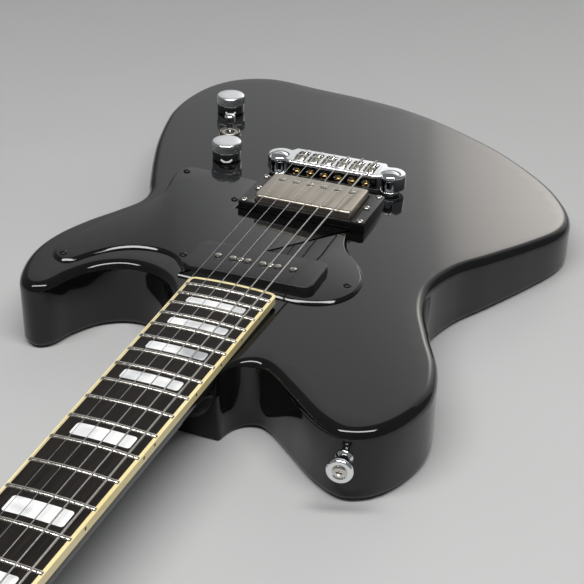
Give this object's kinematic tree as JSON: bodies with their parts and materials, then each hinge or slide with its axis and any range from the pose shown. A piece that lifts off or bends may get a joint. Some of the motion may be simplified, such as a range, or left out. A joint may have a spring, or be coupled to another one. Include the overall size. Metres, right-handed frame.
{
  "type": "electric guitar",
  "caption": "Solid-body electric guitar with a single cutaway, bound fingerboard, soapbar and humbucking pickups, wraparound bridge and in-line tuners.",
  "frame": {"origin": "on the flat back of the body, under the point where the string centreline crosses the saddle line", "axes": "+X towards the treble side, +Y along the string centreline to the headstock, +Z out of the face"},
  "size_m": [0.3246, 1.0016, 0.0626],
  "materials": {
    "body_lacquer": "gloss black lacquer over wood",
    "neck_lacquer": "gloss black lacquer over wood",
    "board_wood": "dark open-grained wood, oiled",
    "cream_plastic": "polished cream plastic",
    "pearl": "polished pearl-like plastic",
    "black_plastic": "gloss black",
    "satin_black_plastic": "satin black",
    "chrome": "polished",
    "nickel": "polished nickel",
    "aged_nickel": "brushed nickel, slightly warm",
    "steel_wire": "bright wire",
    "brass": "polished",
    "steel": "plain plated steel",
    "magnet": "ground",
    "black_metal": "black oxide",
    "film_plastic": "dipped orange"
  },
  "bodies": {
    "guitar": {"body": "body_lacquer", "pickguard": "black_plastic", "neck": "neck_lacquer", "fretboard": "board_wood", "binding": "cream_plastic", "frets": "nickel", "inlays": "pearl", "side_dots": "black_plastic", "nut": "cream_plastic", "truss_rod": "steel", "truss_rod_cover": "black_plastic", "strap_buttons": "chrome", "strap_screws": "nickel", "black_screws": "black_metal", "chrome_screws": "nickel", "plain_strings": "steel_wire", "wound_strings": "steel_wire", "ball_ends": "brass", "tuner_housings": "chrome", "tuner_bushings": "nickel", "string_trees": "nickel", "p90_cover": "satin_black_plastic", "p90_baseplate": "steel", "p90_coil": "satin_black_plastic", "humbucker_cover": "aged_nickel", "humbucker_ring": "black_plastic", "humbucker_baseplate": "steel", "humbucker_coils": "satin_black_plastic", "bar_magnets": "magnet", "pole_screws": "nickel", "pickup_mount_screws": "nickel", "bridge": "chrome", "bridge_studs": "chrome", "stud_inserts": "brass", "saddles": "nickel", "control_pots": "steel", "toggle_housing": "steel", "toggle_washer": "aged_nickel", "toggle_nut": "aged_nickel", "tone_capacitor": "film_plastic", "control_cover": "black_plastic", "output_jack": "nickel", "jack_cup": "chrome"},
    "volume": {"volume_knob": "chrome", "volume_shaft": "brass"},
    "tone": {"tone_knob": "chrome", "tone_shaft": "brass"},
    "toggle": {"toggle_lever": "chrome"},
    "post_1": {"tuner_post_1": "nickel"},
    "button_1": {"tuner_button_1": "chrome"},
    "post_2": {"tuner_post_2": "nickel"},
    "button_2": {"tuner_button_2": "chrome"},
    "post_3": {"tuner_post_3": "nickel"},
    "button_3": {"tuner_button_3": "chrome"},
    "post_4": {"tuner_post_4": "nickel"},
    "button_4": {"tuner_button_4": "chrome"},
    "post_5": {"tuner_post_5": "nickel"},
    "button_5": {"tuner_button_5": "chrome"},
    "post_6": {"tuner_post_6": "nickel"},
    "button_6": {"tuner_button_6": "chrome"}
  },
  "joints": [
    {"name": "volume_turn", "type": "hinge", "parent": "guitar", "child": "volume", "pos_m": [0.085, -0.006, 0.045], "axis": [0, 0, 1], "range_deg": [0, 270]},
    {"name": "tone_turn", "type": "hinge", "parent": "guitar", "child": "tone", "pos_m": [0.118, -0.087, 0.045], "axis": [0, 0, 1], "range_deg": [0, 270]},
    {"name": "pickup_switch", "type": "hinge", "parent": "guitar", "child": "toggle", "pos_m": [0.1, -0.045, 0.044], "axis": [1, 0, 0], "range_deg": [-12, 12]},
    {"name": "button_1_turn", "type": "hinge", "parent": "guitar", "child": "button_1", "pos_m": [0.01426, 0.81845, 0.00932], "axis": [-0.9689, 0.2474, -0.005], "continuous": true},
    {"name": "post_1_turn", "type": "hinge", "parent": "guitar", "child": "post_1", "pos_m": [0.0124, 0.81157, 0.02846], "axis": [0, 0.0202, 0.9998], "continuous": true},
    {"name": "button_2_turn", "type": "hinge", "parent": "guitar", "child": "button_2", "pos_m": [0.00762, 0.79245, 0.00985], "axis": [-0.9689, 0.2474, -0.005], "continuous": true},
    {"name": "post_2_turn", "type": "hinge", "parent": "guitar", "child": "post_2", "pos_m": [0.00576, 0.78557, 0.02899], "axis": [0, 0.0202, 0.9998], "continuous": true},
    {"name": "button_3_turn", "type": "hinge", "parent": "guitar", "child": "button_3", "pos_m": [0.00098, 0.76646, 0.01037], "axis": [-0.9689, 0.2474, -0.005], "continuous": true},
    {"name": "post_3_turn", "type": "hinge", "parent": "guitar", "child": "post_3", "pos_m": [-0.00088, 0.75958, 0.02952], "axis": [0, 0.0202, 0.9998], "continuous": true},
    {"name": "button_4_turn", "type": "hinge", "parent": "guitar", "child": "button_4", "pos_m": [-0.00566, 0.74047, 0.0109], "axis": [-0.9689, 0.2474, -0.005], "continuous": true},
    {"name": "post_4_turn", "type": "hinge", "parent": "guitar", "child": "post_4", "pos_m": [-0.00752, 0.73358, 0.03004], "axis": [0, 0.0202, 0.9998], "continuous": true},
    {"name": "button_5_turn", "type": "hinge", "parent": "guitar", "child": "button_5", "pos_m": [-0.0123, 0.71447, 0.01143], "axis": [-0.9689, 0.2474, -0.005], "continuous": true},
    {"name": "post_5_turn", "type": "hinge", "parent": "guitar", "child": "post_5", "pos_m": [-0.01416, 0.70759, 0.03057], "axis": [0, 0.0202, 0.9998], "continuous": true},
    {"name": "button_6_turn", "type": "hinge", "parent": "guitar", "child": "button_6", "pos_m": [-0.01894, 0.68848, 0.01195], "axis": [-0.9689, 0.2474, -0.005], "continuous": true},
    {"name": "post_6_turn", "type": "hinge", "parent": "guitar", "child": "post_6", "pos_m": [-0.0208, 0.68159, 0.0311], "axis": [0, 0.0202, 0.9998], "continuous": true}
  ],
  "couplings": [
    {"joint": "post_1_turn", "follows": "button_1_turn", "ratio": 0.066667},
    {"joint": "post_2_turn", "follows": "button_2_turn", "ratio": 0.066667},
    {"joint": "post_3_turn", "follows": "button_3_turn", "ratio": 0.066667},
    {"joint": "post_4_turn", "follows": "button_4_turn", "ratio": 0.066667},
    {"joint": "post_5_turn", "follows": "button_5_turn", "ratio": 0.066667},
    {"joint": "post_6_turn", "follows": "button_6_turn", "ratio": 0.066667}
  ]
}
